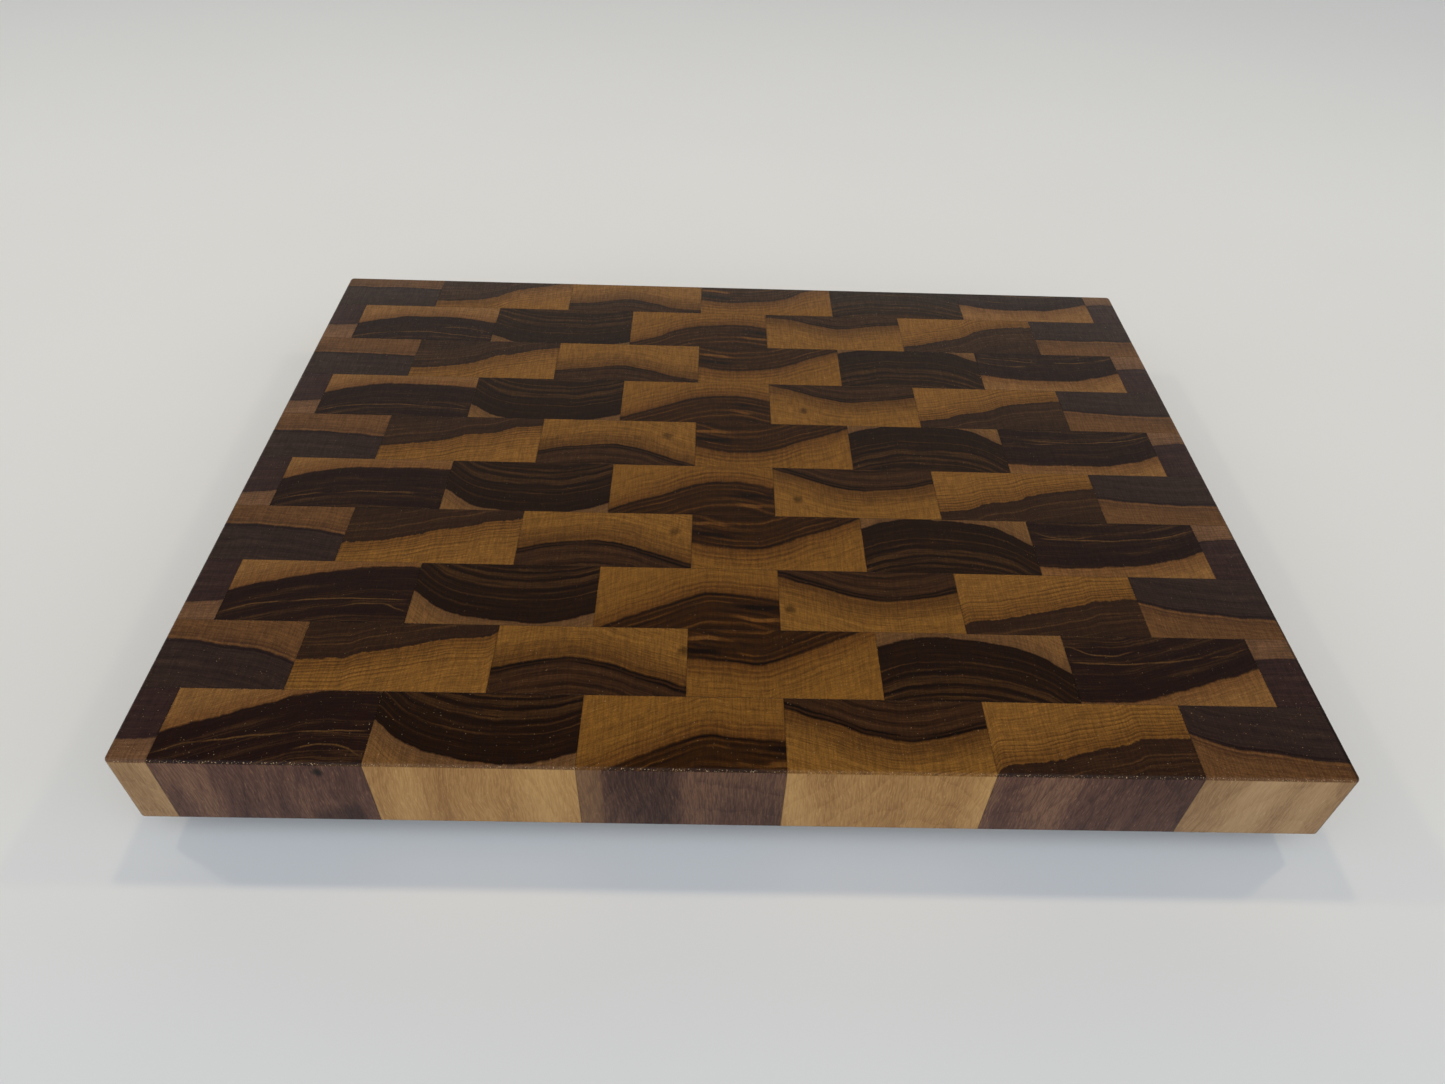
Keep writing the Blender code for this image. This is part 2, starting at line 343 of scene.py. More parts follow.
FIGURES = {
    "a": Figure(
        heart_in_front=False,
        lines=(((0, 0.68), (0.5, 0.68), (1, 0.67)),
               ((0, 0.76), (0.5, 0.74), (1, 0.71)),
               ((0, 0.59), (0.5, 0.58), (1, 0.56))),
        heart=((38, 24, 23), (50, 33, 30), (64, 45, 37)),
        sap=((84, 58, 40), (100, 71, 48), (107, 76, 51)),
        side=TAN_SIDE,
        rings=((-12, 0.5), (-1, 0.5), (0, 0.3), (2, 0.25), (4, 0.5), (9, 0.35), (13, 0.6),
               (18, 0.4), (24, 0.55), (30, 0.4)),
        thread_depth=0.9, sap_ring_mm=2.2),
    "b": Figure(
        heart_in_front=True,
        lines=(((0, 0.57), (0.2, 0.40), (0.4, 0.23), (0.6, 0.07), (0.75, 0.0), (1, 0.0)),
               ((0, 0.43), (0.2, 0.27), (0.4, 0.19), (0.7, 0.17), (1, 0.20)),
               ((0, 0.57), (0.2, 0.42), (0.4, 0.33), (0.6, 0.33), (0.8, 0.37), (1, 0.48))),
        heart=((20, 8, 6), (34, 18, 13), (92, 64, 34)),
        sap=((90, 57, 28), (107, 71, 37), (123, 86, 46)),
        side=TAN_SIDE,
        rings=((-20, 0.55), (-1, 0.45), (0, 0.3), (2, 0.45), (7, 0.35), (11, 0.5), (15, 0.4),
               (20, 0.55), (24, 0.3), (28, 0.6), (32, 0.35), (38, 0.6)),
        edge_softness_mm=1.8, thread_depth=0.55, sap_ring_depth=0.12,
        strokes=(
            Stroke(first=((0, 0.86), (0.15, 0.72), (0.4, 0.63), (0.7, 0.55), (1, 0.53)),
                   last=((0, 0.95), (0.3, 0.80), (0.5, 0.79), (0.7, 0.86), (1, 0.97)),
                   tone=0.9, width_mm=1.0),
            Stroke(first=((0.5, 0.98), (0.7, 0.74), (0.82, 0.71), (1, 0.86)),
                   last=((0.4, 0.66), (0.6, 0.60), (0.8, 0.63), (1, 0.74)),
                   tone=0.85, width_mm=1.0, span=(0.62, 1.0))),
        knots=(Knot((0.78, 0.86, 0.80), (0.78, 1.02, 0.80), 5.0, 0.85),
               Knot((0.76, 0.95, 0.02), (0.86, 1.0, 0.10), 15.0, 0.45))),
    "c": Figure(
        heart_in_front=False,
        lines=(((0, 0.38), (0.2, 0.70), (0.4, 0.85), (0.65, 0.91), (0.85, 0.86), (1, 0.75)),
               ((0, 0.60), (0.2, 0.92), (0.4, 1.02), (0.65, 1.04), (0.85, 0.94), (1, 0.80)),
               ((0, 0.86), (0.2, 1.02), (0.4, 1.1), (0.65, 1.1), (0.85, 1.04), (1, 0.92))),
        heart=((15, 5, 2), (34, 18, 8), (86, 57, 28)),
        sap=((78, 52, 30), (96, 66, 38), (112, 78, 42)),
        side=PALE_SIDE,
        rings=((-14, 0.5), (-1, 0.5), (0, 0.2), (3, 0.35), (6, 0.3), (9, 0.5), (10.5, 0.3),
               (13, 0.45), (15, 0.35), (16.5, 0.4), (17.5, 0.75), (18.5, 0.35), (21, 0.45),
               (22.5, 0.55), (24, 0.15), (26, 0.55), (28.5, 0.65), (31, 0.6), (32.5, 0.15),
               (34, 0.6), (36.5, 0.72), (38, 0.2), (40, 0.7), (43, 0.25), (46, 0.65)),
        thread_depth=0.55, sap_ring_depth=0.12),
    "d": Figure(
        heart_in_front=True,
        lines=(((0, 1.1), (0.15, 0.94), (0.3, 0.77), (0.5, 0.57), (0.62, 0.48), (0.8, 0.52),
                (1, 0.56)),
               ((0, 0.93), (0.15, 0.74), (0.3, 0.62), (0.5, 0.40), (0.65, 0.32), (0.8, 0.33),
                (1, 0.45)),
               ((0, 0.95), (0.2, 0.75), (0.4, 0.48), (0.6, 0.38), (0.8, 0.36), (1, 0.42))),
        heart=((18, 7, 3), (51, 28, 8), (114, 73, 30)),
        sap=((82, 50, 18), (98, 62, 24), (118, 79, 31)),
        side=UMBER_SIDE,
        rings=((-26, 0.5), (-22, 0.35), (-21, 0.5), (-17, 0.3), (-16, 0.5), (-12, 0.25),
               (-11, 0.5), (-8, 0.15), (-7, 0.5), (-4.5, 0.1), (-3.5, 0.45), (-1.2, 0.15),
               (0, 0.3), (1.5, 0.1), (3.5, 0.55), (5.5, 0.25), (7.5, 0.6), (9.5, 0.15),
               (12, 0.5), (14, 0.15), (17, 0.6), (20, 0.25), (23, 0.62), (26, 0.2), (30, 0.5)),
        edge_softness_mm=2.2, thread_depth=0.4, sap_ring_depth=0.12,
        side_contrast=0.95,
        strokes=(
            Stroke(first=((0.6, 0.78), (0.75, 0.82), (0.88, 0.88), (1, 0.86)),
                   last=((0.6, 0.62), (0.75, 0.66), (0.88, 0.72), (1, 0.74)),
                   tone=0.85, width_mm=2.8, span=(0.74, 1.05)),
            Stroke(first=((0.6, 0.60), (0.8, 0.66), (1, 0.68)),
                   last=((0.6, 0.46), (0.8, 0.50), (1, 0.58)),
                   tone=0.0, width_mm=3.6, span=(0.74, 1.1)))),
    "e": Figure(
        heart_in_front=False,
        lines=(((0, 0.15), (0.2, 0.30), (0.4, 0.48), (0.6, 0.56), (0.8, 0.49), (1, 0.36)),
               ((0, 0.02), (0.2, 0.20), (0.4, 0.40), (0.6, 0.44), (0.8, 0.39), (1, 0.27)),
               ((0, 0.10), (0.2, 0.15), (0.4, 0.30), (0.55, 0.38), (0.8, 0.27), (1, 0.20))),
        heart=((16, 6, 2), (52, 31, 16), (80, 53, 29)),
        sap=((66, 39, 14), (90, 58, 24), (121, 82, 34)),
        side=PALE_SIDE,
        rings=((-20, 0.5), (-15, 0.45), (-14, 0.5), (-10, 0.4), (-9, 0.5), (-6, 0.35), (-5, 0.5),
               (-3, 0.3), (-2, 0.45), (-1, 0.4), (0, 0.05), (1.0, 0.0), (2.2, 0.4), (3.4, 0.05),
               (5, 0.5), (8, 0.58), (10.5, 0.3), (12.5, 0.55), (15.5, 0.5), (17.5, 0.22),
               (20, 0.6), (24, 0.35), (28, 0.6)),
        edge_softness_mm=1.4, thread_depth=0.7, sap_ring_mm=3.0, sap_ring_depth=0.12,
        sap_fade_mm=20.0,
        knots=(Knot((-0.065, 0.66, 0.0), (0.23, 0.66, 7.0), 5.0, 0.6),)),
    "f": Figure(
        heart_in_front=True,
        lines=(((0, 0.92), (0.05, 0.82), (0.15, 0.80), (0.3, 0.74), (0.5, 0.62), (0.7, 0.52),
                (0.75, 0.47), (1, 0.44)),
               ((0, 0.83), (0.2, 0.76), (0.3, 0.66), (0.5, 0.58), (0.6, 0.47), (0.8, 0.38),
                (1, 0.30)),
               ((0, 0.90), (0.2, 0.75), (0.4, 0.60), (0.6, 0.32), (0.8, 0.20), (1, 0.18))),
        heart=((28, 14, 9), (47, 29, 17), (86, 57, 31)),
        sap=((78, 48, 18), (108, 71, 30), (124, 84, 36)),
        side=TAN_SIDE,
        rings=((-30, 0.55), (-4, 0.5), (-1, 0.42), (0, 0.35), (1.5, 0.38), (4, 0.5), (7, 0.42),
               (9, 0.52), (10, 0.72), (11, 0.5), (13, 0.6), (14, 0.42), (16, 0.64), (17.5, 0.42),
               (20, 0.58), (23, 0.4)),
        edge_softness_mm=0.9, edge_jags_mm=0.9, thread_depth=0.5, sap_ring_mm=2.5,
        sap_ring_depth=0.48, sap_ring_reach_mm=45.0),
    "g": Figure(
        heart_in_front=False,
        lines=(((0, 0.38), (0.2, 0.53), (0.5, 0.61), (0.8, 0.69), (1, 0.73)),
               ((0, 0.50), (0.2, 0.55), (0.5, 0.59), (0.8, 0.62), (1, 0.62)),
               ((0, 0.57), (0.5, 0.58), (1, 0.59))),
        heart=((30, 18, 16), (47, 33, 28), (62, 45, 36)),
        sap=((72, 46, 28), (89, 59, 33), (97, 65, 36)),
        side=TAN_SIDE,
        rings=((-14, 0.5), (-4, 0.5), (-2.4, 0.2), (-1.3, 0.95), (-0.5, 0.5), (0, 0.1),
               (1.5, 0.05), (3, 0.45), (7, 0.4), (9, 0.6), (12, 0.35), (16, 0.6), (20, 0.4),
               (26, 0.55)),
        edge_softness_mm=1.0, thread_depth=0.8, sap_ring_mm=3.0),
}


def strip_start(strip):
    """Where a strip starts across the panel."""
    index = STRIPS.index(strip)
    return 0.0 if index == 0 else FIRST_STRIP_WIDTH + (index - 1) * FULL_STRIP_WIDTH


def strip_width(strip):
    if strip == STRIPS[0]:
        return FIRST_STRIP_WIDTH
    return LAST_STRIP_WIDTH if strip == STRIPS[-1] else FULL_STRIP_WIDTH


class Strip:
    """The places and distances that the parts of one strip's material share."""

    def __init__(self, graph, strip):
        self.graph = graph
        self.name = strip
        self.figure = FIGURES[strip]
        coordinates = graph.add("ShaderNodeTexCoord").outputs
        self.place = coordinates["Object"]
        self.normal = graph.split(coordinates["Normal"])
        self.x, self.y, self.z = graph.split(self.place)
        self.width = strip_width(strip)
        self.across = graph.math("DIVIDE", graph.math("SUBTRACT", self.x, strip_start(strip)),
                                 self.width)
        self.forward = graph.math("SUBTRACT", 1.0, graph.math("DIVIDE", self.y, ROW_DEPTH))
        run = (ROW_COUNT - 1) * SLICE_PITCH
        self.along = graph.math("DIVIDE", graph.math("SUBTRACT", self.z, THICKNESS), run,
                                clamp=True)
        self.below_top = graph.math("SUBTRACT", THICKNESS,
                                    graph.math("MODULO", self.z, SLICE_PITCH))
        self.drawn_out = graph.scaled(self.place, 1.0, 1.0, GRAIN_STRETCH)
        self.depth = self.depth_into_heart()

    def depth_into_heart(self):
        """How deep a place lies in the heartwood, in millimetres. Below 0 it is sapwood."""
        graph = self.graph
        first, middle, last = (graph.curve(self.across, line) for line in self.figure.lines)
        near = graph.blend(graph.step(self.along, 0.0, 0.5), first, middle)
        edge = graph.blend(graph.step(self.along, 0.5, 1.0), near, last)
        side = 1.0 if self.figure.heart_in_front else -1.0
        depth = graph.math("MULTIPLY", graph.math("SUBTRACT", self.forward, edge),
                           side * ROW_DEPTH * 1000)
        waves = graph.noise(graph.scaled(self.drawn_out, 60, 60, 60), detail=1.0)
        ripples = graph.noise(graph.scaled(self.drawn_out, 230, 230, 230), detail=1.0)
        sway = graph.noise(graph.scaled(self.place, 15, 15, 7), detail=0.0)
        for shift, size in ((waves, 3.0), (ripples, 0.9), (sway, 3.0)):
            depth = graph.math("ADD", depth, graph.centred(shift, size))
        return graph.math("MULTIPLY_ADD", self.below_top, HEART_LEAN * 1000, depth)

    def heart_share(self):
        """1 in the heartwood and 0 in the sapwood, with a soft and jagged edge between."""
        graph = self.graph
        jags = graph.noise(graph.scaled(self.drawn_out, 330, 330, 330), detail=2.0)
        jagged = graph.math("ADD", self.depth, graph.centred(jags, self.figure.edge_jags_mm * 3))
        half = self.figure.edge_softness_mm / 2
        return graph.step(jagged, -half, half)

    def follow_rings(self, per_mm, across, along):
        """A noise that is drawn out along the growth rings."""
        graph = self.graph
        return graph.join(graph.math("MULTIPLY", self.depth, per_mm),
                          graph.math("MULTIPLY", self.x, across),
                          graph.math("MULTIPLY", self.z, along))

    def ring_tone(self):
        """The tone of the end grain: 0 is dark, 0.5 plain and 1 light."""
        graph = self.graph
        figure = self.figure
        rings = graph.curve(self.depth, figure.rings)
        presence = graph.step(graph.noise(self.follow_rings(0.12, 22.0, 1.2), detail=1.0),
                              0.30, 0.62, 0.40, 1.0)
        tone = graph.math("MULTIPLY_ADD", graph.math("SUBTRACT", rings, 0.5), presence, 0.5)
        threads = graph.noise(self.follow_rings(0.95, 26.0, 2.0), detail=3.0, roughness=0.65)
        tone = graph.math("ADD", tone, graph.centred(graph.step(threads, 0.30, 0.72),
                                                     figure.thread_depth * 0.55))
        drift = graph.noise(self.follow_rings(0.10, 9.0, 1.0), detail=1.0)
        phase = graph.math("ADD", graph.math("DIVIDE", self.depth, figure.sap_ring_mm),
                           graph.math("MULTIPLY", drift, 3.0))
        line = graph.math("POWER", graph.math("FRACT", phase), 1.6)
        reach = graph.step(self.depth, -figure.sap_ring_reach_mm, -0.5)
        in_sap = graph.step(self.depth, -1.5, -0.5, 1.0, 0.0)
        tone = graph.math("SUBTRACT", tone, graph.product(line, reach, in_sap,
                                                          figure.sap_ring_depth))
        for stroke in figure.strokes:
            tone = graph.blend(self.stroke_share(stroke), tone, stroke.tone)
        return tone

    def stroke_share(self, stroke):
        """1 on a stroke and 0 off it."""
        graph = self.graph
        line = graph.blend(self.along, graph.curve(self.across, stroke.first),
                           graph.curve(self.across, stroke.last))
        ripples = graph.noise(graph.scaled(self.drawn_out, 90, 90, 200), detail=1.0)
        off = graph.math("MULTIPLY", graph.math("SUBTRACT", self.forward, line),
                         ROW_DEPTH * 1000)
        off = graph.math("ABSOLUTE", graph.math("ADD", off, graph.centred(ripples, 2.4)))
        thick = graph.step(off, stroke.width_mm * 0.25, stroke.width_mm * 0.75, 1.0, 0.0)
        start, end = stroke.span
        within = graph.product(graph.step(self.across, start - 0.04, start + 0.10),
                               graph.step(self.across, end - 0.10, end + 0.04, 1.0, 0.0))
        presence = graph.step(graph.noise(graph.scaled(self.place, 30, 1, 18)), 0.32, 0.55)
        return graph.product(thick, within, presence)

    def knot_share(self, knot):
        """How dark a knot makes each place."""
        graph = self.graph
        start, end = (Vector((strip_start(self.name) + across * self.width,
                              (1 - forward) * ROW_DEPTH, slices * SLICE_PITCH))
                      for across, forward, slices in (knot.start, knot.end))
        run = end - start
        from_start = graph.vector_math("SUBTRACT", self.place, start)
        share = graph.math("DIVIDE", graph.vector_math("DOT_PRODUCT", from_start, run),
                           run.length_squared, clamp=True)
        nearest = graph.vector_math("SCALE", run)
        graph.feed(nearest.node.inputs["Scale"], share)
        distance_mm = graph.math("MULTIPLY",
                                 graph.vector_math("DISTANCE", from_start, nearest), 1000.0)
        blur = graph.centred(graph.noise(graph.scaled(self.place, 400, 400, 60)), 2.5)
        return graph.step(graph.math("ADD", distance_mm, blur), knot.radius_mm * 0.2,
                          knot.radius_mm, knot.darkness, 0.0)

    def side_tone(self):
        """The tone of the side grain: wide bands, arcs, fine streaks and pale flecks."""
        graph = self.graph
        bend = graph.centred(graph.noise(graph.scaled(self.place, 9, 9, 11)), 0.018)
        bent = graph.vector_math("ADD", self.place, graph.join(bend, 0.0, 0.0))
        bands = graph.noise(graph.scaled(bent, 40, 40, 5), detail=1.0)
        streaks = graph.noise(graph.scaled(bent, 1700, 1700, 130), detail=1.0)
        flecks = graph.noise(graph.scaled(bent, 1300, 1300, 260), detail=1.0)
        drift = graph.noise(graph.scaled(bent, 17, 17, 7), detail=0.0)
        leaning = graph.math("MULTIPLY_ADD", self.below_top, RING_LEAN * 1000, self.depth)
        phase = graph.math("ADD", graph.math("DIVIDE", leaning, 3.8),
                           graph.math("MULTIPLY", drift, 5.0))
        arcs = graph.math("POWER", graph.math("FRACT", phase), 4.0)
        tone = graph.math("ADD", 0.5, graph.centred(graph.step(bands, 0.28, 0.72), 0.70))
        tone = graph.math("ADD", tone, graph.centred(graph.step(streaks, 0.28, 0.72), 0.45))
        tone = graph.math("SUBTRACT", tone, graph.product(arcs, 0.22))
        contrast = self.figure.side_contrast
        tone = graph.math("MULTIPLY_ADD", tone, contrast, (1 - contrast) / 2)
        return graph.math("ADD", tone, graph.step(flecks, 0.60, 0.74, 0.0, 0.32))

    def end_grain_share(self):
        """1 where the surface cuts across the grain, 0 where it runs along it."""
        graph = self.graph
        return graph.step(graph.math("ABSOLUTE", self.normal[2]), 0.10, 0.45)

    def glue_share(self):
        """1 on the glue line at a block's sides, where the surface shows it."""
        graph = self.graph
        lines = []
        for share, size, facing in ((self.across, self.width, self.normal[0]),
                                    (self.forward, ROW_DEPTH, self.normal[1])):
            off = graph.math("ABSOLUTE", graph.math("SUBTRACT", share, 0.5))
            to_side_mm = graph.math("MULTIPLY", graph.math("SUBTRACT", 0.5, off), size * 1000)
            line = graph.step(to_side_mm, 0.08, 0.38, 1.0, 0.0)
            shown = graph.step(graph.math("ABSOLUTE", facing), 0.3, 0.6, 1.0, 0.0)
            lines.append(graph.math("MULTIPLY", line, shown))
        return graph.math("MAXIMUM", *lines)

    def weave(self):
        """The fine weave of rays, rings and pores on the end grain, around 1."""
        graph = self.graph
        rays = graph.noise(graph.join(graph.math("MULTIPLY", self.x, 1050.0),
                                      graph.math("MULTIPLY", self.y, 90.0),
                                      graph.math("MULTIPLY", self.z, 300.0)), detail=1.0)
        rings = graph.noise(self.follow_rings(1.25, 150.0, 300.0), detail=1.0)
        pores = graph.noise(graph.scaled(self.place, 1500, 1500, 300), detail=1.0)
        return graph.product(graph.step(rays, 0.30, 0.70, 0.84, 1.16),
                             graph.step(rings, 0.30, 0.70, 0.87, 1.13),
                             graph.step(pores, 0.28, 0.72, 0.84, 1.16))

    def painted_glints(self):
        """Painted glints: rare light specks painted into the colour, where oil and cut fibres
        would catch the light.
        """
        graph = self.graph
        specks = graph.noise(graph.scaled(self.place, 1900, 1900, 1900), detail=0.0)
        # On the rounded rim the specks come more often, as painted highlights along the edge
        rounded = graph.step(graph.math("ABSOLUTE", self.normal[2]), 0.80, 0.99, 0.70, 0.84)
        above = graph.math("SUBTRACT", specks, rounded)
        return graph.step(above, 0.0, 0.05)


def colours_of(tones):
    return [linear(*tone, light=LIGHT_ON_WOOD) for tone in tones]


def wood_material(name):
    """Oiled walnut, with the figure of one strip."""
    material, graph, shader = new_material(f"walnut_strip_{name}")
    strip = Strip(graph, name)
    figure = strip.figure

    tone = strip.ring_tone()
    sap_dark, sap_near, sap_far = colours_of(figure.sap)
    away = graph.step(strip.depth, -figure.sap_fade_mm, 0.0, 1.0, 0.0)
    sap_plain = graph.mix(away, sap_near, sap_far)
    sap_light = [channel * 1.25 for channel in sap_far[:3]] + [1.0]
    sapwood = graph.toned(tone, sap_dark, sap_plain, sap_light)
    heartwood = graph.toned(tone, *colours_of(figure.heart))
    end_grain = graph.mix(strip.heart_share(), sapwood, heartwood)
    side_tone = strip.side_tone()
    side_sap, side_heart = (graph.toned(side_tone, *colours_of(tones))
                            for tones in figure.side)
    side_grain = graph.mix(strip.heart_share(), side_sap, side_heart)
    end_share = strip.end_grain_share()
    colour = graph.mix(end_share, side_grain, end_grain)
    # Painted glints lighten the end grain's colour in specks, standing in for highlights
    colour = graph.mix(graph.math("MULTIPLY", strip.painted_glints(), end_share), colour,
                       linear(*PAINTED_GLINT_COLOUR))

    weave = strip.weave()
    glue_shade = graph.math("MULTIPLY_ADD", strip.glue_share(), -GLUE_DARKENING, 1.0)
    shade = graph.math("MULTIPLY", graph.blend(end_share, 1.0, weave), glue_shade)
    for knot in figure.knots:
        shade = graph.math("MULTIPLY", shade, graph.math("SUBTRACT", 1.0,
                                                         strip.knot_share(knot)))
    shaded = graph.vector_math("SCALE", colour)
    graph.feed(shaded.node.inputs["Scale"], shade)

    graph.feed(shader.inputs["Base Color"], shaded)
    graph.feed(shader.inputs["Roughness"], graph.step(weave, 0.8, 1.2, *WOOD_ROUGHNESS))
    shader.inputs["Specular IOR Level"].default_value = WOOD_SPECULAR
    graph.bump(shader, weave, strength=0.25, distance=0.0001)
    return material


# ---------------------------------------------------------------------------
# Wood pieces
# ---------------------------------------------------------------------------

def node_name(row, strips):
    word = "blocks" if len(strips) > 1 else "block"
    return f"row_{row:02d}_{word}_{strips}"


def board_box():
    """The lowest and highest corner of all the wood."""
    corners = [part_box(name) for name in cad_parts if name.startswith("row_")]
    low = Vector(min(corner[0][axis] for corner in corners) for axis in range(3))
    high = Vector(max(corner[1][axis] for corner in corners) for axis in range(3))
    return low, high


BOARD_LOW, BOARD_HIGH = board_box()
THICKNESS = BOARD_HIGH.z - BOARD_LOW.z
SLICE_PITCH = THICKNESS + SAW_CUT


def is_turned(row):
    return row % 2 == 0


def row_placement(row):
    """From the panel's axes to the board's. Every second slice is turned end for end."""
    low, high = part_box(node_name(row, "c"))
    front = BOARD_HIGH.y - BACK_ROW_DEPTH - (ROW_COUNT - row) * ROW_DEPTH
    bottom = BOARD_LOW.z - (row - 1) * SLICE_PITCH
    if is_turned(row):
        corner = Vector((high.x + CAD_GAP / 2 + strip_start("c"), front + ROW_DEPTH, bottom))
        return Matrix.Translation(corner) @ Matrix.Rotation(math.pi, 4, "Z")
    corner = Vector((low.x - CAD_GAP / 2 - strip_start("c"), front, bottom))
    return Matrix.Translation(corner)


def board_outline():
    """The whole board as one solid with rounded corners and rims."""
    shape = bmesh.new()
    bmesh.ops.create_cube(shape, size=1.0)
    for vertex in shape.verts:
        for axis in range(3):
            vertex.co[axis] = (BOARD_LOW if vertex.co[axis] < 0 else BOARD_HIGH)[axis]

    def is_upright(edge):
        return abs(edge.verts[0].co.z - edge.verts[1].co.z) > THICKNESS / 2

    upright = [edge for edge in shape.edges if is_upright(edge)]
    bmesh.ops.bevel(shape, geom=upright, offset=CORNER_ROUND, segments=CORNER_STEPS,
                    profile=0.5, affect="EDGES")
    rims = [edge for edge in shape.edges if not is_upright(edge)]
    bmesh.ops.bevel(shape, geom=rims, offset=EDGE_ROUND, segments=EDGE_STEPS,
                    profile=0.5, affect="EDGES")
    return shape


def trim(shape, point, outward):
    """Cut away what lies beyond a plane, and close the cut."""
    geometry = shape.verts[:] + shape.edges[:] + shape.faces[:]
    cut = bmesh.ops.bisect_plane(shape, geom=geometry, plane_co=point, plane_no=outward,
                                 clear_outer=True)
    rim = [item for item in cut["geom_cut"] if isinstance(item, bmesh.types.BMEdge)]
    bmesh.ops.contextual_create(shape, geom=rim)


def cut_block(outline, row, strip):
    """One block, cut from the outline along its glue lines, with barely broken edges."""
    block = outline.copy()
    placement = row_placement(row)
    sides = (
        ((strip_start(strip) + SEAM / 2, 0, 0), (-1, 0, 0), strip != STRIPS[0]),
        ((strip_start(strip) + strip_width(strip) - SEAM / 2, 0, 0), (1, 0, 0),
         strip != STRIPS[-1]),
        ((0, SEAM / 2, 0), (0, -1, 0), 1 < row < ROW_COUNT),
        ((0, ROW_DEPTH - SEAM / 2, 0), (0, 1, 0), True),
    )
    for point, outward, is_glued in sides:
        if is_glued:
            trim(block, placement @ Vector(point), placement.to_3x3() @ Vector(outward))
    sharp = [edge for edge in block.edges if edge.calc_face_angle(0.0) > math.radians(60)]
    bmesh.ops.bevel(block, geom=sharp, offset=SEAM_BEVEL, segments=1, affect="EDGES")
    return block


def object_from(name, shape, materials, smooth=True):
    """Turn a bmesh into a named object, and free the bmesh."""
    mesh = bpy.data.meshes.new(name)
    shape.to_mesh(mesh)
    shape.free()
    for material in materials:
        mesh.materials.append(material)
    if smooth:
        mesh.shade_smooth()
        mesh.set_sharp_from_angle(angle=SMOOTH_ANGLE)
    piece = bpy.data.objects.new(name, mesh)
    bpy.context.scene.collection.objects.link(piece)
    return piece


def stand_for(piece, node):
    """Have a piece take the place of a CAD node."""
    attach(piece, "root")
    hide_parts(node)


def make_wood_piece(outline, row, strips, materials):
    """The blocks of one CAD node, as one piece whose axes are those of the panel."""
    whole = bmesh.new()
    for index, strip in enumerate(strips):
        block = cut_block(outline, row, strip)
        for face in block.faces:
            face.material_index = index
        mesh = bpy.data.meshes.new("block")
        block.to_mesh(mesh)
        block.free()
        whole.from_mesh(mesh)
        bpy.data.meshes.remove(mesh)
    placement = row_placement(row)
    whole.transform(placement.inverted())
    node = node_name(row, strips)
    piece = object_from(f"walnut_{node}", whole, [materials[strip] for strip in strips])
    piece.matrix_world = placement
    stand_for(piece, node)


def make_board():
    materials = {strip: wood_material(strip) for strip in STRIPS}
    outline = board_outline()
    for row in range(1, ROW_COUNT + 1):
        for strips in JOINED_STRIPS:
            make_wood_piece(outline, row, strips, materials)
    outline.free()


# ---------------------------------------------------------------------------
# Feet, washers and screws
# ---------------------------------------------------------------------------

def rubber_material():
    """Matt black rubber, a little dusty and finely pebbled."""
    material, graph, shader = new_material("moulded_rubber")
    place = graph.add("ShaderNodeTexCoord").outputs["Object"]
    dust = graph.noise(graph.scaled(place, 160, 160, 160), detail=3.0)
    grain = graph.noise(graph.scaled(place, 2600, 2600, 2600), detail=2.0)
    colour = graph.mix(graph.step(dust, 0.35, 0.75), *RUBBER_COLOURS)
    graph.feed(shader.inputs["Base Color"], colour)
    graph.feed(shader.inputs["Roughness"], graph.step(dust, 0.3, 0.7, 0.62, 0.82))
    graph.bump(shader, grain, strength=0.35, distance=0.0001)
    return material


def steel_material():
    """Turned stainless steel, with fine rings round its axis."""
    material, graph, shader = new_material("turned_steel")
    place = graph.add("ShaderNodeTexCoord").outputs["Object"]
    x, y, z = graph.split(place)
    radius = graph.vector_math("LENGTH", graph.join(x, y, 0.0))
    rings = graph.noise(graph.join(graph.math("MULTIPLY", radius, 9000.0), 0.0,
                                   graph.math("MULTIPLY", z, 3000.0)), detail=2.0)
    smudge = graph.noise(graph.scaled(place, 500, 500, 500), detail=2.0)
    colour = graph.mix(smudge, *STEEL_COLOURS)
    graph.feed(shader.inputs["Base Color"], colour)
    shader.inputs["Metallic"].default_value = 1.0
    graph.feed(shader.inputs["Roughness"], graph.step(rings, 0.3, 0.7, 0.24, 0.42))
    graph.bump(shader, rings, strength=0.15, distance=0.00003)
    return material


def arc(centre_radius, centre_height, radius, start_degrees, end_degrees):
    """Points of a quarter-round in a turned profile, as (radius, height)."""
    points = []
    for step in range(ARC_STEPS + 1):
        angle = math.radians(start_degrees + (end_degrees - start_degrees) * step / ARC_STEPS)
        points.append((centre_radius + radius * math.cos(angle),
                       centre_height + radius * math.sin(angle)))
    return points


def turned(profile):
    """A closed bmesh turned about Z from (radius, height) points.

    A profile that starts or ends on the axis is closed there by a single point. Any other
    profile is a ring, and its last point joins its first.
    """
    shape = bmesh.new()
    rings = []
    for radius, height in profile:
        if radius == 0:
            rings.append([shape.verts.new((0, 0, height))])
            continue
        angles = [2 * math.pi * step / TURNED_STEPS for step in range(TURNED_STEPS)]
        rings.append([shape.verts.new((radius * math.cos(angle), radius * math.sin(angle),
                                       height)) for angle in angles])
    pairs = list(zip(rings, rings[1:]))
    if len(rings[0]) > 1:
        pairs.append((rings[-1], rings[0]))
    for lower, upper in pairs:
        for step in range(TURNED_STEPS):
            after = (step + 1) % TURNED_STEPS
            corners = [lower[step % len(lower)], lower[after % len(lower)],
                       upper[after % len(upper)], upper[step % len(upper)]]
            shape.faces.new(list(dict.fromkeys(corners)))
    bmesh.ops.recalc_face_normals(shape, faces=shape.faces)
    return shape


